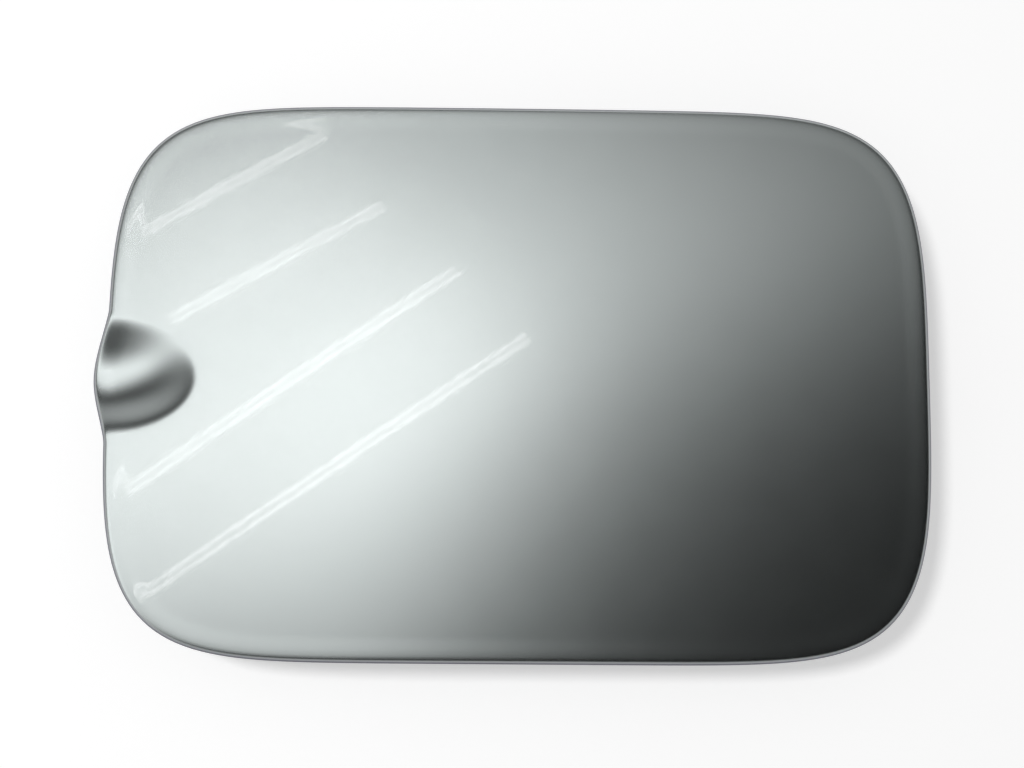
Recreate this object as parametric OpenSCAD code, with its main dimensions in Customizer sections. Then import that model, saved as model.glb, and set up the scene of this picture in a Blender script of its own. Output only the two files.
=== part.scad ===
// Fuel filler flap of a car: a crowned and hemmed steel door with a finger scoop
// in its free edge, on a sprung hinge. It lies closed with its painted face up.
// X runs from the free edge to the hinge edge, Y up the car's side, Z outwards.

/* [Outer skin] */
// Length of the flap from the free edge to the hinge edge, without the scoop's lip
flap_length = 200; // [190:1:212]
// Height of the flap, along the hinge axis
flap_height = 136.2; // [128:0.2:146]
// How square the upper and lower edges are: 2 is an ellipse
long_edge_power = 6.9; // [5.5:0.1:8]
// How square the free edge and the hinge edge are
short_edge_power = 4; // [3.4:0.1:4.6]
// Rise of the middle over the two short edges
crown_length = 1.5; // [0.8:0.1:2.2]
// Rise of the middle over the two long edges
crown_height = 2.2; // [1.2:0.1:3]
// Thickness of the outer sheet
skin_t = 0.8; // [0.7:0.05:1]
// Width of the hem folded back under the edge
hem_width = 8; // [6:0.5:9]
// Width of the soft shoulder along the edge, where the face starts to turn down
shoulder_width = 6; // [4:0.5:8]
// How far the shoulder has turned down at the edge
shoulder_drop = 0.5; // [0.2:0.05:0.7]

/* [Finger scoop] */
// Width of the scoop along the free edge
scoop_width = 29.6; // [26:0.2:33]
// How far the scoop reaches in from the free edge
scoop_reach = 22.3; // [19:0.1:26]
// Depth of the scoop at the free edge
scoop_depth = 6; // [4.5:0.1:7]
// How far the scoop's lip stands out past the free edge
lip_flare = 4.2; // [2:0.1:4.6]
// Width of the lip along the free edge
lip_width = 33.4; // [30:0.2:35]
// How full the scoop's floor is: more is flatter with steeper walls
scoop_power = 3.4; // [2.6:0.1:4.2]

/* [Inner panel] */
// Thickness of the inner sheet
inner_t = 0.7; // [0.6:0.05:0.9]
// Free height over the recessed field at its corners, for heads of buffers and rivets
cavity = 1.4; // [1.2:0.1:2.2]
// Width of the sloped step from the flange down to the field
step_width = 3; // [2:0.5:4]
// Radius of a lightening hole
lightening_r = 8; // [5:0.5:9]
// Distance of the lightening holes from the middle, along the length
lightening_x = 22; // [19:1:25]
// Distance of the lightening holes from the middle, along the height
lightening_y = 43; // [42:0.5:44]
// Radius of the two stiffening beads
bead_r = 4; // [3:0.2:4.6]
// Height of the beads over the field
bead_rise = 1; // [0.6:0.1:1.4]
// Distance of the beads from the middle
bead_y = 26; // [25:0.5:27]
// Radius of a mastic pad
pad_r = 5; // [3:0.5:6]
// Distance of the four outer pads from the middle, along the length
pad_x = 48; // [46:1:50]
// Distance of the four outer pads from the middle, along the height
pad_y = 38; // [36:1:40]
// Distance of the two middle pads from the middle
pad_mid_y = 44; // [40:1:46]

/* [Rubber buffers] */
// Distance of the buffers in from the short edges
buffer_from_short_edge = 27; // [25:0.5:29]
// Distance of the buffers in from the long edges
buffer_from_long_edge = 27.4; // [26:0.2:29]
// Radius of a buffer
buffer_r = 5; // [4:0.2:6]
// Height of a buffer under the field
buffer_h = 5; // [3:0.5:8]
// Radius of a buffer's neck
buffer_neck_r = 2.4; // [1.8:0.1:3]
// Height of the snap head over the field
buffer_head_h = 0.9; // [0.6:0.1:1]

/* [Striker] */
// Distance from the scoop's inner end to the striker's wall
striker_gap = 11.7; // [10.5:0.1:16]
// Length of the striker's foot along the flap
striker_foot_l = 20; // [18:0.5:20]
// Width of the striker's foot
striker_foot_w = 24; // [22:0.5:28]
// Thickness of the foot
striker_foot_t = 2; // [1.6:0.1:3]
// Thickness of the wall that holds the lock pin
striker_wall_t = 3; // [2.4:0.1:4]
// Width of the wall at its free end
striker_tip_w = 10; // [9.5:0.5:12]
// Radius of the eye that takes the lock pin
eye_r = 3.5; // [3:0.1:4]
// Height of the eye over the surface that the flap lies on
eye_z = 7; // [6:0.1:9]
// Radius of a striker screw's shank
screw_r = 1.6; // [1.2:0.1:2]

/* [Hinge] */
// Distance of the pivot in from the hinge edge
pivot_inset = 11; // [10:0.2:12]
// Height of the pivot over the bracket's mounting face
pivot_z = 14; // [13.6:0.1:17]
// Distance from the pivot up to the leaf
leaf_drop = 5; // [4.8:0.1:6]
// Thickness of the leaf's sheet
leaf_t = 1.5; // [1.2:0.1:2]
// Distance between the inner faces of the leaf's ears
leaf_gap = 40; // [34:0.5:44]
// Length of the leaf in from the pivot
leaf_length = 47; // [44:0.5:50]
// Length of the leaf's side flanges in from the pivot
flange_length = 30; // [24:0.5:34]
// Radius of a leaf ear
leaf_ear_r = 5.5; // [5:0.1:6]
// Width of the cam knuckle in the middle of the leaf
cam_w = 12; // [8:0.5:16]
// Radius of the cam knuckle
cam_r = 4.2; // [3.8:0.1:4.5]
// Depth of the two flats on the cam
cam_flat = 0.25; // [0.1:0.05:0.4]
// Distance of the first pair of rivets in from the leaf's end
rivet_in = 6; // [5:0.5:7]
// Distance between the two pairs of rivets
rivet_apart = 11; // [9:0.5:12]
// Distance of the rivets from the middle
rivet_y = 14; // [9:0.5:14.5]
// Radius of a rivet
rivet_r = 2; // [1.5:0.1:2.2]
// Radius of the hinge pin
pin_r = 2; // [1.8:0.1:2.3]
// Wall of a bush
bush_wall = 1.5; // [1.1:0.1:1.6]
// Thickness of a bush's flange
bush_flange_t = 0.8; // [0.6:0.1:1.2]

/* [Bracket and spring] */
// Thickness of the bracket's sheet
bracket_t = 1.6; // [1.4:0.1:1.8]
// Radius of a bracket ear
bracket_ear_r = 4.4; // [4:0.1:4.6]
// Distance between the two screw holes
screw_spacing = 30; // [26:0.5:32]
// Radius of a screw hole
screw_hole_r = 2.75; // [2.2:0.05:3.2]
// Distance of the screw holes in from the pivot
screw_from_pivot = 37; // [36:0.5:40]
// Width of the bracket's foot
foot_w = 44; // [42:0.5:50]
// Thickness of the leaf spring
spring_t = 0.6; // [0.4:0.1:0.7]
// Width of the leaf spring
spring_w = 11; // [8:0.5:14]
// Distance of the spring's rivet in from the pivot
rivet_from_pivot = 22; // [20:0.5:23]
// Distance from the screw holes to the end of the foot
foot_margin = 8; // [7:0.5:10]
// Distance from the screw holes to the start of the channel
channel_margin = 8; // [6:0.5:9]

/* [Hidden] */
// Clearance round a piece that is pressed or riveted into its seat
seat_gap = 0.03;
// Radial running clearance of the pin in its bushes
run_gap = 0.05;
// Clearance between faces that pass each other
side_gap = 0.15;
// Clearance round the inner panel's flange inside the hem
hem_gap = 0.05;
// Clearance between a mastic pad and the skin
pad_gap = 0.2;
// Clearance between the cam and the leaf spring
cam_gap = 0.2;

half_length = flap_length / 2;
half_height = flap_height / 2;
pivot_x = half_length - pivot_inset;

// The hem is a full round over three sheets
edge_r = skin_t + (inner_t + 2 * hem_gap) / 2;
flange_outer = edge_r + 0.4;
flange_inner = hem_width + 1.6;
field_inset = flange_inner + step_width;
lip_hem = edge_r + 0.4;
notch_half = scoop_width / 2 + 3;
notch_reach = scoop_reach - 1;
notch_r = 6;

// Angles at which the outline has its corner points, close together round the scoop
scoop_angle = asin((lip_width / 2 + 1) / half_height);
scoop_steps = 20;
side_steps = 3;
corner_steps = 9;
long_steps = 9;
hinge_steps = 12;
function span(from, to, steps) = [for (i = [0:steps - 1]) from + (to - from) * i / steps];
angles = concat(
    span(-32, 32, hinge_steps),
    span(32, 60, corner_steps),
    span(60, 120, long_steps),
    span(120, 148, corner_steps),
    span(148, 180 - scoop_angle, side_steps),
    span(180 - scoop_angle, 180 + scoop_angle, scoop_steps),
    span(180 + scoop_angle, 212, side_steps),
    span(212, 240, corner_steps),
    span(240, 300, long_steps),
    span(300, 328, corner_steps));
steps = len(angles);

// Outline: a squared ellipse, found by Newton's method, and the lip on its free edge
function reach(c, s, t = 1, k = 16) =
    let(cx = pow(c * t, long_edge_power), sy = pow(s * t, short_edge_power))
    k == 0 ? t
        : reach(c, s, t - t * (cx + sy - 1) / (long_edge_power * cx + short_edge_power * sy), k - 1);
function bell(v) = abs(v) < 1 ? pow(1 - v * v, 2) : 0;
function outline(a) =
    let(t = reach(abs(cos(a)), abs(sin(a))), y = half_height * sin(a) * t)
    [half_length * cos(a) * t - (cos(a) < 0 ? lip_flare * bell(y / (lip_width / 2)) : 0), y];
function inset(a, d) =
    let(ahead = outline(a + 0.1), behind = outline(a - 0.1), along = (ahead - behind) / norm(ahead - behind))
    outline(a) - d * [along[1], -along[0]];

// Fall of the outer face below the middle of the crown, and of the scoop below that
function crown(p) = crown_length * pow(p[0] / half_length, 2) + crown_height * pow(p[1] / half_height, 2);
function scoop(p) =
    let(u = max(0, (p[0] + half_length) / scoop_reach), v = p[1] / (scoop_width / 2), e = norm([u, v]))
    e < 1 ? scoop_depth * pow(1 - pow(e, scoop_power), 2) : 0;

// Heights, built up from the surface that the flap lies on
leaf_z = pivot_z + leaf_drop;
field_z = leaf_z + leaf_t;
field_top = field_z + inner_t;
crown_z = field_top + cavity + skin_t + crown(inset(45, field_inset));
function outer_z(p) = crown_z - crown(p) - scoop(p);
function shoulder(d) = d < shoulder_width ? shoulder_drop * pow(1 - d / shoulder_width, 2) : 0;

// Width of the hem at an outline point: only a rolled edge along the scoop
function hem_at(p) =
    let(k = min(1, max(0, (abs(p[1]) - notch_half) / 4)))
    p[0] > 0 ? hem_width : lip_hem + (hem_width - lip_hem) * k * k * (3 - 2 * k);

// A ring is [share of the way out, inset from the outline, fall below the outer face]
function ring(r, a) =
    let(p = inset(a, r[1]) * r[0])
    [p[0], p[1], outer_z(p) - shoulder(r[1]) - r[2]];
function rings(list) = [for (r = list) for (a = angles) ring(r, a)];
// Triangles between ring k and the next one out, wound for a face that looks up
function band(k, first) = [for (i = [0:steps - 1])
    let(j = (i + 1) % steps, a = first + k * steps, b = a + steps)
    each [[a + i, a + j, b + j], [a + i, b + j, b + i]]];

field_shares = [0.2, 0.4, 0.58, 0.72, 0.8, 0.84, 0.88, 0.92, 0.96];
edge_insets = [12, 9.6, 7.2, 4.9, 2.8];
hem_shares = [0.25, 0.6, 1];
face_rings = concat([for (f = field_shares) [f, 12, 0]], [for (d = edge_insets) [1, d, 0]], [[1, edge_r, 0]]);
round_steps = 6;
function fold(r, step, count) =
    [1, edge_r - r * sin(180 * step / count), edge_r - r * cos(180 * step / count)];
bore_r = edge_r - skin_t;
back_rings = [for (i = [len(face_rings) - 1:-1:0]) [face_rings[i][0], face_rings[i][1], skin_t]];

// Buffers, striker, beads, leaf and rivets
buffer_x = half_length - buffer_from_short_edge;
buffer_y = half_height - buffer_from_long_edge;
buffer_head_r = buffer_neck_r + 1.1;
striker_x = -half_length + scoop_reach + striker_gap;
striker_screw_y = striker_foot_w / 2 - 4;
screw_head_r = 2 * screw_r;
screw_head_h = 1.4;
screw_tip = 1.1;
leaf_w = leaf_gap + 2 * leaf_t;
leaf_from = pivot_x - leaf_length;
leaf_end = 2.5;
bend_in = 0.5;
bend_r = bend_in + leaf_t;
bead_from = striker_x + striker_foot_l / 2 + bead_r + 6;
bead_to = leaf_from - bead_r - 5;
rivet_head_r = rivet_r + 1.6;
rivet_head_h = 0.9;

// The pin's line, from the middle out: bracket ear, bush flange, leaf ear, washer gap, head or clip
bracket_half = leaf_gap / 2 - bush_flange_t - side_gap;
bracket_bend_r = bend_in + bracket_t;
bush_r = pin_r + run_gap + bush_wall;
bush_flange_r = min(bush_r + 0.9, leaf_drop - bend_in - seat_gap);
ear_out = leaf_gap / 2 + leaf_t;
pin_head_r = pin_r + 1.6;
pin_head_h = 1.5;
clip_t = 0.8;
clip_r = pin_r + 2;
groove_r = pin_r - 0.5;
pin_tail = 1.2;
knuckle_bore_r = pin_r + 0.5;

// Foot of the bracket and the spring's line, seen from the side, with the pivot at the origin
foot_z = -pivot_z;
foot_top = foot_z + bracket_t;
foot_from = -screw_from_pivot - foot_margin;
channel_from = -screw_from_pivot + channel_margin;
channel_end = 3;
foot_corner_r = 5;
spring_rivet_r = 1.5;
spring_head_r = 3;
spring_head_h = 1.2;
spring_rest_z = -cam_r - cam_gap - spring_t / 2;
spring_bay = rivet_from_pivot - 8;

// The origin lies under the middle of the whole flap, its lip included
module flap_frame() {
    translate([lip_flare / 2, 0, 0]) children();
}

module at_pivot() {
    flap_frame() translate([pivot_x, 0, pivot_z]) children();
}

module outer_skin() {
    hem_out = [for (s = hem_shares) [s, 2 * edge_r]];
    hem_back = [for (i = [len(hem_shares) - 1:-1:0]) [hem_shares[i], 2 * edge_r - skin_t]];
    outside = rings(concat(face_rings, [for (i = [1:round_steps]) fold(edge_r, i, round_steps)]));
    hem = [for (h = concat(hem_out, hem_back)) for (a = angles)
        ring([1, edge_r + (hem_at(outline(a)) - edge_r) * h[0], h[1]], a)];
    inside = rings(concat([for (i = [2:-1:1]) fold(bore_r, i, 2)], back_rings));
    points = concat(outside, hem, inside, [[0, 0, crown_z], [0, 0, crown_z - skin_t]]);
    bands = len(face_rings) + round_steps + 2 * len(hem_shares) + 2 + len(back_rings) - 1;
    top = len(points) - 2;
    faces = concat(
        [for (i = [0:steps - 1]) [top, (i + 1) % steps, i]],
        [for (k = [0:bands - 1]) each band(k, 0)],
        [for (i = [0:steps - 1]) [bands * steps + i, bands * steps + (i + 1) % steps, top + 1]]);
    color([0.74, 0.78, 0.77]) flap_frame() polyhedron(points, faces, convexity = 6);
}

module inner_panel() {
    flange_fall = skin_t + hem_gap;
    flange = [flange_inner, 7.2, 4.9, 2.8, flange_outer];
    count = len(flange);
    top_rings = [for (d = flange) [1, d, flange_fall]];
    under_rings = [for (i = [count - 1:-1:0]) [1, flange[i], flange_fall + inner_t]];
    field = [for (z = [field_top, field_z]) [for (a = angles) let(p = inset(a, field_inset)) [p[0], p[1], z]]];
    points = concat(field[0], rings(top_rings), rings(under_rings), field[1]);
    faces = concat(
        [[for (i = [steps - 1:-1:0]) i]],
        [for (k = [0:2 * count]) each band(k, 0)],
        [[for (i = [0:steps - 1]) (2 * count + 1) * steps + i]]);
    color([0.62, 0.65, 0.66]) flap_frame() difference() {
        union() {
            difference() {
                polyhedron(points, faces, convexity = 4);
                scoop_notch();
                for (x = [-1, 1], y = [-1, 1])
                    translate([x * lightening_x, y * lightening_y, field_z - 1])
                        cylinder(r = lightening_r, h = inner_t + 2, $fn = 48);
                for (x = [-1, 1], y = [-1, 1])
                    translate([x * buffer_x, y * buffer_y, field_z - 1])
                        cylinder(r = buffer_neck_r + seat_gap, h = inner_t + 2, $fn = 32);
                for (y = [-1, 1]) translate([striker_x, y * striker_screw_y, field_z - 1])
                    cylinder(r = screw_r + seat_gap, h = inner_t + 2, $fn = 24);
                leaf_rivet_places() cylinder(r = rivet_r + seat_gap, h = 20, center = true, $fn = 24);
            }
            for (y = [-1, 1]) translate([0, y * bead_y, 0]) bead(bead_r, field_z);
        }
        for (y = [-1, 1]) translate([0, y * bead_y, 0]) bead(bead_r - inner_t, field_z - 1);
    }
}

// A long bead with round ends, cut off below the height floor_z
module bead(r, floor_z) {
    centre_z = field_top + bead_rise - bead_r;
    intersection() {
        union() {
            translate([bead_from, 0, centre_z]) rotate([0, 90, 0]) cylinder(r = r, h = bead_to - bead_from, $fn = 32);
            for (x = [bead_from, bead_to]) translate([x, 0, centre_z]) sphere(r = r, $fn = 32);
        }
        translate([bead_from - 2 * r, -2 * r, floor_z]) cube([bead_to - bead_from + 4 * r, 4 * r, 4 * r]);
    }
}

// The inner panel stops short of the scoop, which reaches down past it
module scoop_notch() {
    far = half_length - notch_reach;
    translate([-far, 0, 0]) linear_extrude(height = 2 * crown_z) union() {
        translate([-notch_reach - 10, -notch_half]) square([notch_reach + 10 - notch_r, 2 * notch_half]);
        translate([-notch_r - 1, -notch_half + notch_r]) square([notch_r + 1, 2 * (notch_half - notch_r)]);
        for (y = [-1, 1]) translate([-notch_r, y * (notch_half - notch_r)]) circle(r = notch_r, $fn = 32);
    }
}

// Blobs of mastic that keep the outer skin from drumming on the inner panel
module mastic_pads() {
    places = concat([for (x = [-1, 1], y = [-1, 1]) [x * pad_x, y * pad_y]],
        [for (y = [-1, 1]) [0, y * pad_mid_y]]);
    color([0.25, 0.24, 0.22]) flap_frame() for (at = places) {
        corner = [abs(at[0]) + pad_r, abs(at[1]) + pad_r];
        height = crown_z - crown(corner) - skin_t - pad_gap - field_top;
        translate([at[0], at[1], field_top]) cylinder(r = pad_r, h = height, $fn = 32);
    }
}

// One rubber buffer: a tapered foot, a neck in the inner panel and a snap head over it
module buffer(x, y) {
    base = buffer_r - 0.8;
    lip = buffer_neck_r + 0.4;
    color([0.1, 0.1, 0.1]) flap_frame() translate([x * buffer_x, y * buffer_y, field_z])
        rotate_extrude($fn = 48) polygon([
            [0, -buffer_h], [base - 0.8, -buffer_h], [base, 0.8 - buffer_h], [buffer_r, 0],
            [buffer_neck_r, 0], [buffer_neck_r, inner_t], [buffer_head_r, inner_t],
            [buffer_head_r, inner_t + 0.3], [lip, inner_t + buffer_head_h], [0, inner_t + buffer_head_h]]);
}

module buffer_front_upper() {
    buffer(-1, 1);
}

module buffer_front_lower() {
    buffer(-1, -1);
}

module buffer_rear_upper() {
    buffer(1, 1);
}

module buffer_rear_lower() {
    buffer(1, -1);
}

// A slab with round corners, built without offsets so that its arcs stay arcs
module soft_rect(w, h, r) {
    square([w - 2 * r, h], center = true);
    square([w, h - 2 * r], center = true);
    for (x = [-1, 1], y = [-1, 1]) translate([x * (w / 2 - r), y * (h / 2 - r)]) circle(r = r, $fn = 32);
}

// Plastic striker: a foot under the inner panel and a ribbed wall with the eye for the lock pin
module striker() {
    tip_r = 3;
    shoulder = striker_foot_w / 2 - 4 - screw_head_r - 0.4;
    rib_l = striker_foot_l / 2 - striker_wall_t / 2 - 1;
    rib_h = field_z - striker_foot_t - eye_z - eye_r - 1;
    color([0.13, 0.13, 0.14]) flap_frame() translate([striker_x, 0, 0]) difference() {
        union() {
            translate([0, 0, field_z - striker_foot_t]) linear_extrude(height = striker_foot_t)
                soft_rect(striker_foot_l, striker_foot_w, 3);
            rotate([90, 0, 90]) linear_extrude(height = striker_wall_t, center = true) {
                polygon([[-striker_tip_w / 2, tip_r], [striker_tip_w / 2, tip_r],
                    [shoulder, field_z - striker_foot_t], [-shoulder, field_z - striker_foot_t]]);
                translate([0, tip_r]) square([striker_tip_w - 2 * tip_r, 2 * tip_r], center = true);
                for (y = [-1, 1]) translate([y * (striker_tip_w / 2 - tip_r), tip_r])
                    circle(r = tip_r, $fn = 32);
            }
            for (side = [0, 180], y = [-1, 1]) rotate([0, 0, side])
                translate([striker_wall_t / 2, y * (shoulder - 1.5), field_z - striker_foot_t])
                    rotate([90, 0, 0]) linear_extrude(height = 1.6, center = true)
                        polygon([[-0.5, 0], [rib_l, 0], [rib_l, -1], [0, -rib_h], [-0.5, -rib_h]]);
        }
        translate([0, 0, eye_z]) rotate([0, 90, 0]) cylinder(r = eye_r, h = 40, center = true, $fn = 48);
        for (y = [-1, 1]) translate([0, y * striker_screw_y, field_z - striker_foot_t - 1])
            cylinder(r = screw_r + 0.2, h = striker_foot_t + 2, $fn = 24);
    }
}

module striker_screws() {
    color([0.6, 0.6, 0.6]) flap_frame() for (y = [-1, 1])
        translate([striker_x, y * striker_screw_y, field_z - striker_foot_t]) {
            difference() {
                translate([0, 0, -screw_head_h]) cylinder(r1 = screw_head_r - 0.4, r2 = screw_head_r, h = screw_head_h, $fn = 32);
                translate([0, 0, -screw_head_h - 0.1]) cylinder(r = screw_r * 0.7, h = 0.9, $fn = 6);
            }
            cylinder(r = screw_r, h = striker_foot_t + inner_t + screw_tip, $fn = 24);
        }
}

// A bent channel's section, open at the side away from z = 0, before it is cut to its side view
module channel(width, height, t, r) {
    difference() {
        translate([0, height / 2]) soft_rect(width, height, r);
        translate([0, height / 2 + t]) soft_rect(width - 2 * t, height, r - t);
        translate([-width, height - r]) square([2 * width, 2 * r]);
    }
}

// Places of the rivets that join the leaf to the inner panel
module leaf_rivet_places() {
    for (x = [rivet_in, rivet_in + rivet_apart], y = [-1, 1])
        translate([leaf_from + x, y * rivet_y, field_z]) children();
}

// Pressed leaf: a plate under the inner panel, two ears for the bushes and a cam knuckle
module hinge_leaf() {
    depth = leaf_drop + leaf_t;
    reach_down = depth + leaf_ear_r + bend_r + 1;
    color([0.42, 0.44, 0.46]) at_pivot() difference() {
        union() {
            translate([(-leaf_length - flange_length) / 2 + 2, 0, leaf_drop]) linear_extrude(height = leaf_t)
                soft_rect(leaf_length - flange_length + 4, leaf_w, 4);
            intersection() {
                translate([-flange_length, 0, depth]) rotate([90, 0, 90]) mirror([0, 1, 0])
                    linear_extrude(height = flange_length + leaf_ear_r) channel(leaf_w, reach_down, leaf_t, bend_r);
                rotate([90, 0, 0]) linear_extrude(height = 2 * leaf_w, center = true) {
                    circle(r = leaf_ear_r, $fn = 48);
                    polygon([[-flange_length, depth], [leaf_end, depth], [leaf_end, leaf_drop], [leaf_ear_r - 0.6, 2.4],
                        [leaf_ear_r - 0.6, 0], [-leaf_ear_r + 0.6, -0.6], [-leaf_ear_r - 4, 1.6], [-flange_length, 2.4]]);
                }
            }
            rotate([90, 0, 0]) linear_extrude(height = cam_w, center = true) intersection() {
                union() {
                    circle(r = cam_r, $fn = 48);
                    translate([-cam_r, 0]) square([cam_r + leaf_end, leaf_drop + 0.2]);
                }
                translate([-cam_r - 1, -cam_r + cam_flat]) square([3 * cam_r, 3 * cam_r]);
            }
        }
        rotate([90, 0, 0]) cylinder(r = knuckle_bore_r, h = cam_w + 2, center = true, $fn = 48);
        for (y = [-1, 1]) translate([0, y * (leaf_gap + leaf_t) / 2, 0]) rotate([90, 0, 0])
            cylinder(r = bush_r + seat_gap, h = leaf_t + 2, center = true, $fn = 48);
        for (x = [rivet_in, rivet_in + rivet_apart], y = [-1, 1]) translate([x - leaf_length, y * rivet_y, leaf_drop - 1])
            cylinder(r = rivet_r + seat_gap, h = leaf_t + 2, $fn = 24);
    }
}

module leaf_rivets() {
    color([0.6, 0.6, 0.6]) flap_frame() leaf_rivet_places() {
        translate([0, 0, -leaf_t - rivet_head_h]) cylinder(r1 = rivet_head_r - 0.8, r2 = rivet_head_r, h = rivet_head_h, $fn = 32);
        translate([0, 0, -leaf_t - 0.1]) cylinder(r = rivet_r, h = leaf_t + inner_t + 0.2, $fn = 24);
        translate([0, 0, inner_t]) cylinder(r1 = rivet_head_r, r2 = rivet_head_r - 0.8, h = rivet_head_h, $fn = 32);
    }
}

// Flanged plastic bush in a leaf ear; side is 1 for the upper one
module bush(side) {
    color([0.85, 0.84, 0.78]) at_pivot() rotate([side > 0 ? -90 : 90, 0, 0])
        translate([0, 0, leaf_gap / 2]) difference() {
            union() {
                cylinder(r = bush_r, h = leaf_t, $fn = 48);
                translate([0, 0, -bush_flange_t]) cylinder(r = bush_flange_r, h = bush_flange_t, $fn = 48);
            }
            cylinder(r = pin_r + run_gap, h = 20, center = true, $fn = 48);
        }
}

module bush_upper() {
    bush(1);
}

module bush_lower() {
    bush(-1);
}

// The pin's head is at its upper end, and a spring clip holds its lower end
module hinge_pin() {
    head_at = ear_out + side_gap;
    clip_at = ear_out + side_gap;
    color([0.7, 0.71, 0.72]) at_pivot() rotate([-90, 0, 0]) difference() {
        union() {
            translate([0, 0, -clip_at - clip_t - pin_tail]) cylinder(r = pin_r, h = clip_at + clip_t + pin_tail + head_at, $fn = 48);
            translate([0, 0, head_at]) cylinder(r1 = pin_head_r, r2 = pin_head_r - 0.5, h = pin_head_h, $fn = 48);
        }
        translate([0, 0, -clip_at - clip_t - 0.05]) difference() {
            cylinder(r = pin_r + 1, h = clip_t + 0.1, $fn = 48);
            translate([0, 0, -1]) cylinder(r = groove_r, h = clip_t + 2, $fn = 48);
        }
    }
}

module pin_clip() {
    color([0.3, 0.3, 0.32]) at_pivot() rotate([-90, 0, 0]) translate([0, 0, -ear_out - side_gap - clip_t])
        difference() {
            cylinder(r = clip_r, h = clip_t, $fn = 48);
            translate([0, 0, -1]) cylinder(r = groove_r + seat_gap, h = clip_t + 2, $fn = 48);
            translate([0, -groove_r * 0.8, -1]) cube([2 * clip_r, groove_r * 1.6, clip_t + 2]);
            for (y = [-1, 1]) translate([-clip_r * 0.35, y * clip_r * 0.95, -1]) cylinder(r = 0.9, h = clip_t + 2, $fn = 24);
        }
}

// Pressed bracket: a flat foot with two screw holes and a channel that rises to two ears
module hinge_bracket() {
    plate_l = channel_from - foot_from + 4;
    color([0.42, 0.44, 0.46]) at_pivot() difference() {
        union() {
            translate([foot_from + plate_l / 2, 0, foot_z]) linear_extrude(height = bracket_t)
                soft_rect(plate_l, foot_w, foot_corner_r);
            intersection() {
                translate([channel_from, 0, foot_z]) rotate([90, 0, 90])
                    linear_extrude(height = channel_end + bracket_ear_r - channel_from)
                        channel(2 * bracket_half, pivot_z + bracket_ear_r + bracket_bend_r + 1, bracket_t, bracket_bend_r);
                rotate([90, 0, 0]) linear_extrude(height = 4 * bracket_half, center = true) {
                    circle(r = bracket_ear_r, $fn = 48);
                    polygon([[channel_from, foot_z], [channel_end, foot_z], [channel_end, foot_z + 6], [bracket_ear_r, 0],
                        [-bracket_ear_r, 0], [-bracket_ear_r - 3, -5], [-spring_bay, foot_top + 3.5],
                        [channel_from, foot_top + 2]]);
                }
            }
        }
        rotate([90, 0, 0]) cylinder(r = pin_r + seat_gap, h = 4 * bracket_half, center = true, $fn = 48);
        for (y = [-1, 1]) translate([-screw_from_pivot, y * screw_spacing / 2, foot_z - 1])
            cylinder(r = screw_hole_r, h = bracket_t + 2, $fn = 48);
        translate([-rivet_from_pivot, 0, foot_z - 1]) cylinder(r = spring_rivet_r + seat_gap, h = bracket_t + 2, $fn = 24);
    }
}

// Leaf spring: riveted flat to the foot, it rises in an S and bears on the cam under the pin
module leaf_spring() {
    low = foot_top + spring_t / 2;
    rise = spring_rest_z - low;
    flat_to = -rivet_from_pivot + 5;
    up_at = -cam_r - 1.5;
    line = concat([[-rivet_from_pivot - 5, low]],
        [for (i = [0:8]) [flat_to + (up_at - flat_to) * i / 8, low + rise * (1 - cos(180 * i / 8)) / 2]],
        [[1, spring_rest_z], [leaf_end, spring_rest_z - 0.5]]);
    function across(i) =
        let(a = line[max(0, i - 1)], b = line[min(len(line) - 1, i + 1)], d = (b - a) / norm(b - a))
        [-d[1], d[0]] * spring_t / 2;
    color([0.35, 0.36, 0.4]) at_pivot() difference() {
        rotate([90, 0, 0]) linear_extrude(height = spring_w, center = true)
            polygon(concat([for (i = [0:len(line) - 1]) line[i] + across(i)],
                [for (i = [len(line) - 1:-1:0]) line[i] - across(i)]));
        translate([-rivet_from_pivot, 0, foot_z]) cylinder(r = spring_rivet_r + seat_gap, h = bracket_t + 4, $fn = 24);
    }
}

module spring_rivet() {
    color([0.6, 0.6, 0.6]) at_pivot() translate([-rivet_from_pivot, 0, foot_top]) {
        translate([0, 0, -bracket_t]) cylinder(r = spring_rivet_r, h = bracket_t + spring_t + 0.1, $fn = 24);
        translate([0, 0, spring_t])
            cylinder(r1 = spring_head_r, r2 = spring_head_r - 0.8, h = spring_head_h, $fn = 32);
    }
}

outer_skin();
inner_panel();
mastic_pads();
buffer_front_upper();
buffer_front_lower();
buffer_rear_upper();
buffer_rear_lower();
striker();
striker_screws();
hinge_leaf();
leaf_rivets();
bush_upper();
bush_lower();
hinge_pin();
pin_clip();
hinge_bracket();
leaf_spring();
spring_rivet();
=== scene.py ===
"""Looks of a fuel filler flap: silver paint under clear lacquer, lying face up on a pale floor.

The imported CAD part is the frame. Lengths are in metres, and names that end in _mm are in millimetres.
"""
import math

import bpy
import numpy as np
from mathutils import Matrix, Vector


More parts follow.
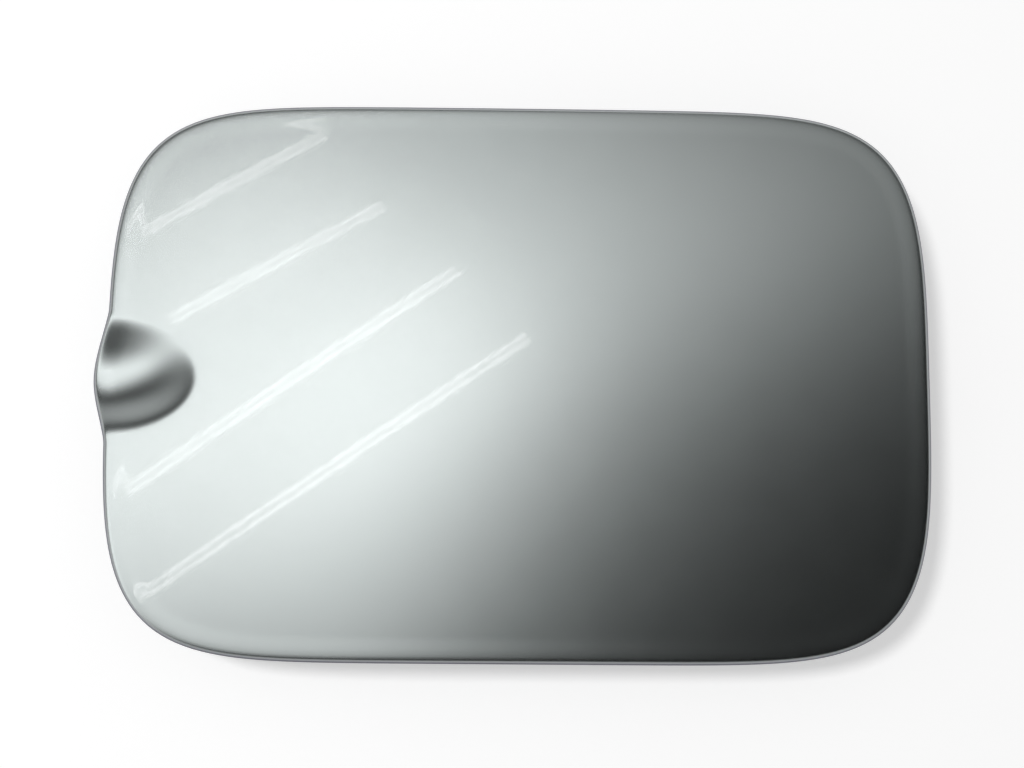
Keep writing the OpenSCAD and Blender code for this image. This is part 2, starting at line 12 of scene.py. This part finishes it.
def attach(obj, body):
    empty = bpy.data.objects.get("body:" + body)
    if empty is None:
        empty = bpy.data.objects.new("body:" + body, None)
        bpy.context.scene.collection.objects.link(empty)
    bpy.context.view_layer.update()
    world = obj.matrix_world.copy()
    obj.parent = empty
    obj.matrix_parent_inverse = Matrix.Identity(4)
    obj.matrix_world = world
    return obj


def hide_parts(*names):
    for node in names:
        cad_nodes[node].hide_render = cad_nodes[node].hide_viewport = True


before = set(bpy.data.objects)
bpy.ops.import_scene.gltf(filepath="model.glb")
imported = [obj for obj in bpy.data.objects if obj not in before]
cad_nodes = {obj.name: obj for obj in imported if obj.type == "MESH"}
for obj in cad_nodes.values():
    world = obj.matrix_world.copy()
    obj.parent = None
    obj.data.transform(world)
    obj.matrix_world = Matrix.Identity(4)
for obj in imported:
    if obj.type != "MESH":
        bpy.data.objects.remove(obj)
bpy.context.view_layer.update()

MM = 0.001
FLAP = "flap"
MOUNT = "hinge_mount"

# Sizes of the outer skin, the same as in the CAD source
half_length_mm = 100.0
half_height_mm = 68.1
long_edge_power = 6.9
short_edge_power = 4.0
crown_length_mm = 1.5
crown_height_mm = 2.2
crown_top_mm = 25.5407
skin_t_mm = 0.8
edge_r_mm = 1.2
hem_width_mm = 8.0
shoulder_width_mm = 2.4
shoulder_drop_mm = 0.12
ridge_width_mm = 6.5
ridge_rise_mm = 0.045
scoop_width_mm = 29.6
scoop_reach_mm = 22.3
scoop_depth_mm = 4.4
scoop_power = 2.3
scoop_side_power = 2.0
scoop_tip_power = 1.35
lip_flare_mm = 4.2
lip_width_mm = 33.4
lip_hem_mm = edge_r_mm + 0.4
notch_half_mm = scoop_width_mm / 2 + 3
flap_x_mm = lip_flare_mm / 2


# ---- the form of the flap, on arrays of angles and points in millimetres ----

def outline_mm(angle):
    """Outline points at these angles: a squared ellipse with the lip on its free edge."""
    c, s = np.abs(np.cos(angle)), np.abs(np.sin(angle))
    t = np.ones_like(c)
    for _ in range(24):
        cx, sy = (c * t) ** long_edge_power, (s * t) ** short_edge_power
        t = t - t * (cx + sy - 1) / (long_edge_power * cx + short_edge_power * sy)
    x = half_length_mm * np.cos(angle) * t
    y = half_height_mm * np.sin(angle) * t
    v = np.clip(np.abs(y) / (lip_width_mm / 2), 0, 1)
    lip = np.where(np.cos(angle) < 0, lip_flare_mm * (1 - v * v) ** 2, 0)
    return np.stack([x - lip, y], -1)


def inset_mm(angle, distance):
    """Points that lie this far in from the outline, along its normal."""
    step = math.radians(0.1)
    along = outline_mm(angle + step) - outline_mm(angle - step)
    along /= np.linalg.norm(along, axis=-1, keepdims=True)
    return outline_mm(angle) - distance * np.stack([along[:, 1], -along[:, 0]], -1)


def face_height_mm(p):
    """Height of the painted face over a point, without the roll-off at its edge."""
    x, y = p[..., 0], p[..., 1]
    crown = crown_length_mm * (x / half_length_mm) ** 2 + crown_height_mm * (y / half_height_mm) ** 2
    u = np.maximum(0, (x + half_length_mm) / scoop_reach_mm)
    e = np.hypot(u, y / (scoop_width_mm / 2))
    tip = (u / np.maximum(e, 1e-9)) ** 2
    wall_power = scoop_side_power + (scoop_tip_power - scoop_side_power) * tip
    return crown_top_mm - crown - scoop_depth_mm * (1 - np.clip(e, 0, 1) ** scoop_power) ** wall_power


def edge_fall_mm(inset):
    """Fall of the face near its edge: a faint ridge that the hemming leaves, then the roll-off."""
    k = np.clip((ridge_width_mm - inset) / (ridge_width_mm - shoulder_width_mm), 0, 1)
    roll = np.clip(1 - inset / shoulder_width_mm, 0, 1)
    return shoulder_drop_mm * roll ** 2 - ridge_rise_mm * k * k * (3 - 2 * k)


def hem_reach_mm(outline):
    """Inset of the hem's raw edge: a full hem all round, and only a rolled edge along the scoop."""
    k = np.clip((np.abs(outline[:, 1]) - notch_half_mm) / 4, 0, 1)
    blend = lip_hem_mm + (hem_width_mm - lip_hem_mm) * k * k * (3 - 2 * k)
    return np.where(outline[:, 0] > 0, hem_width_mm, blend)


# ---- modelling helpers ----

def deselect():
    if bpy.context.object and bpy.context.object.mode != "OBJECT":
        bpy.ops.object.mode_set(mode="OBJECT")
    bpy.ops.object.select_all(action="DESELECT")


def edit(piece):
    deselect()
    bpy.context.view_layer.objects.active = piece
    piece.select_set(True)
    bpy.ops.object.mode_set(mode="EDIT")
    bpy.ops.mesh.select_all(action="SELECT")


def done(piece, smooth_angle=35):
    """Back to object mode, with smooth shading up to an angle."""
    bpy.ops.object.mode_set(mode="OBJECT")
    bpy.ops.object.shade_smooth_by_angle(angle=math.radians(smooth_angle))
    return piece


def grid_sheet(name, rows, columns):
    """A flat grid of quads with this many rows and columns of corner points, to be wrapped into a form."""
    deselect()
    bpy.ops.mesh.primitive_grid_add(x_subdivisions=columns - 1, y_subdivisions=rows - 1, size=1)
    sheet = bpy.context.object
    sheet.name = sheet.data.name = name
    return sheet


def wrap(sheet, points_mm):
    """Moves the grid's corner points, row by row, to these places and closes its seam and poles."""
    sheet.data.vertices.foreach_set("co", (points_mm.reshape(-1) * MM).astype(np.float32))
    edit(sheet)
    bpy.ops.mesh.remove_doubles(threshold=1e-6)
    bpy.ops.mesh.normals_make_consistent(inside=False)
    return done(sheet)


def finish_piece(piece, material, body, slot, *nodes):
    piece.data.materials.clear()
    piece.data.materials.append(material)
    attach(piece, body)
    if nodes:
        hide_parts(*nodes)


# ---- outer skin: one sheet from the crown's top over the rim, round the hem and back inside ----

def skin_angles():
    """Angles of the points round the flap, four times as close at the scoop."""
    scoop = math.asin((lip_width_mm / 2 + 1) / half_height_mm)
    near = np.linspace(math.pi - scoop, math.pi + scoop, 97)
    far = np.linspace(-math.pi + scoop, math.pi - scoop, 331)
    return np.concatenate([far, near[1:]])


def painted_skin():
    angles = skin_angles()
    outline = outline_mm(angles)
    hem_at = hem_reach_mm(outline)
    rings, rim = [], []

    # Each ring carries a share of painted shade: the rim is painted dark where it turns away from the light.
    def ring(inset, fall, share=1.0, edge_shade=0.0):
        p = inset_mm(angles, inset if np.ndim(inset) == 0 else inset[:, None]) * share
        edge = np.broadcast_to(inset, angles.shape)
        z = face_height_mm(p) - edge_fall_mm(edge) - fall
        rings.append(np.stack([p[:, 0] + flap_x_mm, p[:, 1], z], -1))
        rim.append(np.full(len(angles), edge_shade))

    face_shares = np.concatenate([np.linspace(0, 0.75, 34), np.linspace(0.75, 1, 29)[1:]])
    face_insets = np.linspace(12, edge_r_mm, 19)[1:]
    for share in face_shares:
        ring(12.0, 0.0, share)
    for inset in face_insets:
        ring(inset, 0.0)
    # The rolled edge is painted darker the further it turns over: painted shade.
    for turn in np.linspace(0, math.pi, 15)[1:]:
        ring(edge_r_mm * (1 - math.sin(turn)), edge_r_mm * (1 - math.cos(turn)),
             edge_shade=float(np.clip((turn - 0.15) / 0.75, 0, 1)))
    hem_shares = np.linspace(0, 1, 6)[1:]
    # The hem under the rim is painted dark too: painted shade.
    for share in hem_shares:
        ring(edge_r_mm + (hem_at - edge_r_mm) * share, 2 * edge_r_mm, edge_shade=0.6)
    for share in hem_shares[::-1]:
        ring(edge_r_mm + (hem_at - edge_r_mm) * share, 2 * edge_r_mm - skin_t_mm, edge_shade=0.6)
    bore_r = edge_r_mm - skin_t_mm
    for turn in np.linspace(math.pi, 0, 6):
        ring(edge_r_mm - bore_r * math.sin(turn), edge_r_mm - bore_r * math.cos(turn))
    for inset in face_insets[-3::-3]:
        ring(inset, skin_t_mm)
    for share in face_shares[::-2]:
        ring(12.0, skin_t_mm, share)
    if face_shares[::-2][-1] > 0:
        ring(12.0, skin_t_mm, 0.0)

    points = np.array(rings)
    sheet = grid_sheet("painted_skin", *points.shape[:2])
    # This attribute holds the painted shade of the rim, point by point.
    attribute = sheet.data.attributes.new("rim_dirt", "FLOAT", "POINT")
    attribute.data.foreach_set("value", np.array(rim, np.float32).ravel())
    return wrap(sheet, points)


# ---- shader expressions ----

class Link:
    """An output in a material's nodes. Arithmetic on it adds Math nodes, and node() adds any other node."""

    def __init__(self, socket):
        self.socket = socket

    def node(self, kind, settings=None, inputs=None, output=0):
        tree = self.socket.id_data
        made = tree.nodes.new(kind)
        for name, value in (settings or {}).items():
            if name == "stops":
                ramp = made.color_ramp.elements
                while len(ramp) < len(value):
                    ramp.new(1.0)
                for stop, (place, colour) in zip(ramp, value):
                    stop.position, stop.color = place, (*colour, 1.0)
            else:
                setattr(made, name, value)
        for name, value in (inputs or {}).items():
            if isinstance(value, Link):
                tree.links.new(value.socket, made.inputs[name])
            else:
                made.inputs[name].default_value = value
        return Link(made.outputs[output])

    def math(self, operation, *values):
        return self.node("ShaderNodeMath", {"operation": operation}, dict(enumerate(values)))

    def __add__(self, other):
        return self.math("ADD", self, other)

    def __radd__(self, other):
        return self.math("ADD", other, self)

    def __sub__(self, other):
        return self.math("SUBTRACT", self, other)

    def __rsub__(self, other):
        return self.math("SUBTRACT", other, self)

    def __mul__(self, other):
        return self.math("MULTIPLY", self, other)

    def __rmul__(self, other):
        return self.math("MULTIPLY", other, self)

    def __truediv__(self, other):
        return self.math("DIVIDE", self, other)

    def __pow__(self, other):
        return self.math("POWER", self, other)

    def ramp(self, low, high, to_low=0.0, to_high=1.0):
        """Smooth step from to_low at low to to_high at high."""
        return self.node("ShaderNodeMapRange", {"interpolation_type": "SMOOTHSTEP"},
                         {0: self, 1: low, 2: high, 3: to_low, 4: to_high})

    def noise(self, scale, detail=2.0, roughness=0.5, distortion=0.0):
        """Noise from 0 to 1 on this vector."""
        return self.node("ShaderNodeTexNoise", {}, {
            "Vector": self, "Scale": scale, "Detail": detail, "Roughness": roughness, "Distortion": distortion})

    def placed(self, centre=(0, 0, 0), turn=0.0, size=(1, 1, 1)):
        """This vector seen from a centre, turned about Z in degrees and divided by a size."""
        moved = self.node("ShaderNodeVectorMath", {"operation": "SUBTRACT"}, {0: self, 1: centre})
        if turn:
            moved = moved.node("ShaderNodeVectorRotate", {"rotation_type": "Z_AXIS"},
                               {"Vector": moved, "Angle": -math.radians(turn)})
        return moved.node("ShaderNodeVectorMath", {"operation": "DIVIDE"}, {0: moved, 1: size})

    def length(self):
        return self.node("ShaderNodeVectorMath", {"operation": "LENGTH"}, {0: self}, "Value")

    def mixed(self, colour_0, colour_1):
        """Colour 0 where this value is 0, and colour 1 where it is 1."""
        a, b = (c if isinstance(c, Link) else (*c, 1.0) for c in (colour_0, colour_1))
        return self.node("ShaderNodeMix", {"data_type": "RGBA"}, {0: self, 6: a, 7: b}, 2)

    def bump(self, height, distance):
        """Normal over a height field of this depth in metres."""
        return self.node("ShaderNodeBump", {}, {"Strength": 1.0, "Distance": distance, "Height": height}, "Normal")

    def surface(self, inputs):
        return self.node("ShaderNodeBsdfPrincipled", {}, inputs)


def material(name, build):
    """A material whose shader is what build returns for the Object coordinates."""
    made = bpy.data.materials.new(name)
    made.use_nodes = True
    tree = made.node_tree
    tree.nodes.clear()
    output = tree.nodes.new("ShaderNodeOutputMaterial")
    place = Link(tree.nodes.new("ShaderNodeTexCoord").outputs["Object"])
    tree.links.new(build(place).socket, output.inputs["Surface"])
    return made


# ---- finishes ----

def silver_paint(place):
    """Fine silver flake under a clear lacquer with orange peel, with a rim painted dark as shade."""
    mottle = place.noise(3400, 2, 0.6)
    cloud = place.noise(90, 3, 0.6)
    # Painted shade at the rim: the attribute darkens the rolled edge and hem, makes them duller and less metallic,
    # and takes the lacquer's shine off them.
    rim = place.node("ShaderNodeAttribute", {"attribute_name": "rim_dirt"}, {}, "Fac")
    flake = (0.94 + 0.07 * mottle + 0.05 * cloud)
    silver = flake.node("ShaderNodeMix", {"data_type": "RGBA", "blend_type": "MULTIPLY"},
                        {0: 1.0, 6: (0.605, 0.635, 0.628, 1), 7: flake}, 2)
    # The dark blue-grey of the painted rim shade.
    body = rim.mixed(silver, (0.12, 0.12, 0.155))
    flake_normal = place.bump(place.noise(1900, 2, 0.6), 0.9e-6)
    peel_normal = place.bump(place.noise(430, 1, 0.45) + 0.35 * place.noise(900, 0, 0.5), 2.4e-6)
    base = place.surface({"Base Color": body, "Metallic": 1 - 0.85 * rim, "Roughness": 0.24 + 0.02 * cloud + 0.25 * rim, "Normal": flake_normal})
    lacquer = place.surface({"Base Color": (1, 1, 1, 1), "Metallic": 1.0, "Roughness": 0.035, "Normal": peel_normal})
    shine = (1 - rim) * place.node("ShaderNodeFresnel", {}, {"IOR": 1.5, "Normal": peel_normal})
    return place.node("ShaderNodeMixShader", {}, {0: shine, 1: base, 2: lacquer})


def plain(colour, roughness, metallic, grain_scale=900, grain_depth=2e-5):
    def build(place):
        cloud = place.noise(60, 3, 0.6)
        shade = cloud.ramp(0.2, 0.8).mixed(tuple(c * 0.85 for c in colour), tuple(min(1, c * 1.12) for c in colour))
        return place.surface({"Base Color": shade, "Metallic": metallic,
                              "Roughness": roughness + 0.1 * place.noise(300, 2),
                              "Normal": place.bump(place.noise(grain_scale, 2), grain_depth)})
    return build


finishes = {
    "silver_paint": material("silver_paint", silver_paint),
    "inner_paint": material("inner_paint", plain((0.42, 0.44, 0.45), 0.4, 0.6)),
    "mastic": material("mastic", plain((0.03, 0.03, 0.03), 0.7, 0.0)),
    "buffer_rubber": material("buffer_rubber", plain((0.015, 0.015, 0.016), 0.6, 0.0)),
    "black_plastic": material("black_plastic", plain((0.02, 0.02, 0.021), 0.42, 0.0)),
    "zinc_plate": material("zinc_plate", plain((0.62, 0.6, 0.52), 0.32, 1.0)),
    "hinge_steel": material("hinge_steel", plain((0.06, 0.062, 0.065), 0.42, 0.3)),
    "bush_plastic": material("bush_plastic", plain((0.68, 0.66, 0.58), 0.4, 0.0)),
    "pin_steel": material("pin_steel", plain((0.6, 0.6, 0.6), 0.25, 1.0)),
    "spring_steel": material("spring_steel", plain((0.12, 0.12, 0.14), 0.35, 1.0)),
}

slot_of = {
    "inner_panel": "inner_paint", "mastic_pads": "mastic", "striker": "black_plastic",
    "striker_screws": "zinc_plate", "hinge_leaf": "hinge_steel", "leaf_rivets": "zinc_plate",
    "bush_upper": "bush_plastic", "bush_lower": "bush_plastic", "hinge_pin": "pin_steel",
    "pin_clip": "spring_steel", "hinge_bracket": "hinge_steel", "leaf_spring": "spring_steel",
    "spring_rivet": "zinc_plate", "outer_skin": "silver_paint",
    **{"buffer_" + place: "buffer_rubber" for place in ("front_upper", "front_lower", "rear_upper", "rear_lower")},
}
for name, node in cad_nodes.items():
    node.data.materials.clear()
    node.data.materials.append(finishes[slot_of[name]])

skin = painted_skin()
finish_piece(skin, finishes["silver_paint"], FLAP, "silver_paint", "outer_skin")


# ---- studio ----

def studio_floor(place):
    """White floor: half of its white is its own, so that metal shows it too, and the rest keeps the shadow."""
    rays = place.node("ShaderNodeLightPath", {}, {}, "Is Camera Ray")
    tree = rays.socket.node
    seen = Link(tree.outputs["Is Camera Ray"]) + Link(tree.outputs["Is Glossy Ray"]) \
        + Link(tree.outputs["Is Transmission Ray"])
    matt = place.node("ShaderNodeBsdfDiffuse", {}, {"Color": (0.75, 0.75, 0.75, 1)})
    glow = place.node("ShaderNodeEmission", {}, {"Color": (1, 1, 1, 1), "Strength": seen.math("MINIMUM", seen, 1.0) * 0.4})
    return place.node("ShaderNodeAddShader", {}, {0: matt, 1: glow})


# Soft lights in the ceiling: strength, centre, half widths in metres and turn in degrees
ceiling_height = 1.2
ceiling_half = 4.0
soft_lights = [
    (0.97, (-0.152, -0.061), (0.273, 0.114), 67.6),
    (1.54, (-0.832, -0.190), (0.871, 0.236), 50.2),
    (0.50, (0.168, 0.335), (0.370, 0.152), 30.8),
]
# Tubes in the ceiling: their two ends
tube_radiance = 7.0
tubes = [((-0.473, 0.378), (-0.230, 0.567)), ((-0.414, 0.239), (-0.149, 0.436)),
         ((-0.467, -0.045), (-0.054, 0.324)), ((-0.450, -0.214), (0.034, 0.213))]


def studio_ceiling(place):
    """Dark ceiling with soft lights, paler towards the walls."""
    light = place.placed(size=(1, 1, 1e6)).length().ramp(1.3, 2.4, 0.0, 0.56)
    for strength, centre, half, turn in soft_lights:
        away = place.placed((*centre, 0), turn, (*half, 1e6)).length()
        light = light + strength * (-0.5 * away * away).math("EXPONENT", -0.5 * away * away)
    return place.node("ShaderNodeEmission", {}, {"Color": (0.97, 1.0, 1.0, 1), "Strength": light})


deselect()
bpy.ops.mesh.primitive_plane_add(size=12)
floor = bpy.context.object
floor.name = "studio_floor"
floor.data.materials.append(material("studio_floor", studio_floor))

deselect()
bpy.ops.mesh.primitive_plane_add(size=2 * ceiling_half)
ceiling = bpy.context.object
ceiling.name = "studio_ceiling"
ceiling.location.z = ceiling_height
ceiling.data.materials.append(material("studio_ceiling", studio_ceiling))
ceiling.visible_camera = ceiling.visible_diffuse = ceiling.visible_shadow = False
ceiling.visible_transmission = ceiling.visible_volume_scatter = False

for number, (start, end) in enumerate(tubes):
    a, b = Vector((*start, ceiling_height - 0.02)), Vector((*end, ceiling_height - 0.02))
    for side in (-1, 1):
        tube = bpy.data.lights.new(f"tube_{number}_{side}", "AREA")
        tube.shape = "RECTANGLE"
        tube.size, tube.size_y = (b - a).length, 0.004
        tube.energy = math.pi * tube.size * tube.size_y * tube_radiance
        lamp = bpy.data.objects.new(tube.name, tube)
        bpy.context.scene.collection.objects.link(lamp)
        along = (b - a).normalized()
        across = Vector((-along.y, along.x, 0))
        lamp.matrix_world = Matrix.Translation((a + b) / 2 + across * side * 0.0055) \
            @ Matrix((along, across, Vector((0, 0, 1)))).transposed().to_4x4()

key = bpy.data.lights.new("key", "AREA")
key.shape = "DISK"
key.size = 0.2
key_slope = Vector((-0.367, 0.133, 1.0))
key_height = 1.1
key_level = 0.43
key.energy = key_level * math.pi ** 2 * key_height ** 2 * key_slope.length_squared * key_slope.length
key_lamp = bpy.data.objects.new("key", key)
bpy.context.scene.collection.objects.link(key_lamp)
key_lamp.location = key_slope * key_height
key_lamp.rotation_mode = "QUATERNION"
key_lamp.rotation_quaternion = (-key_lamp.location).to_track_quat("-Z", "Y")
key_lamp.visible_glossy = False

world = bpy.data.worlds.new("studio")
bpy.context.scene.world = world
world.use_nodes = True
background = world.node_tree.nodes["Background"]
rays = world.node_tree.nodes.new("ShaderNodeLightPath")
seen = Link(rays.outputs["Is Camera Ray"]) + Link(rays.outputs["Is Glossy Ray"]) + Link(rays.outputs["Is Transmission Ray"])
strength = 0.35 + 0.65 * seen.math("MINIMUM", seen, 1.0)
world.node_tree.links.new(strength.socket, background.inputs["Strength"])
background.inputs["Color"].default_value = (1, 1, 1, 1)

camera = bpy.data.cameras.new("camera")
camera.sensor_fit = "HORIZONTAL"
camera.sensor_width = 36
camera.lens = 18 / math.tan(math.radians(20))
camera.clip_start, camera.clip_end = 0.01, 50
camera_object = bpy.data.objects.new("camera", camera)
bpy.context.scene.collection.objects.link(camera_object)
camera_object.matrix_world = Matrix((
    (0.99985554, -0.00986841, -0.01383859, -0.00441065),
    (0.00811919, 0.99259424, -0.12120539, -0.04245448),
    (0.01493221, 0.12107552, 0.99253098, 0.3616767),
    (0, 0, 0, 1)))
bpy.context.scene.camera = camera_object
bpy.context.scene.view_settings.view_transform = "Standard"

deselect()
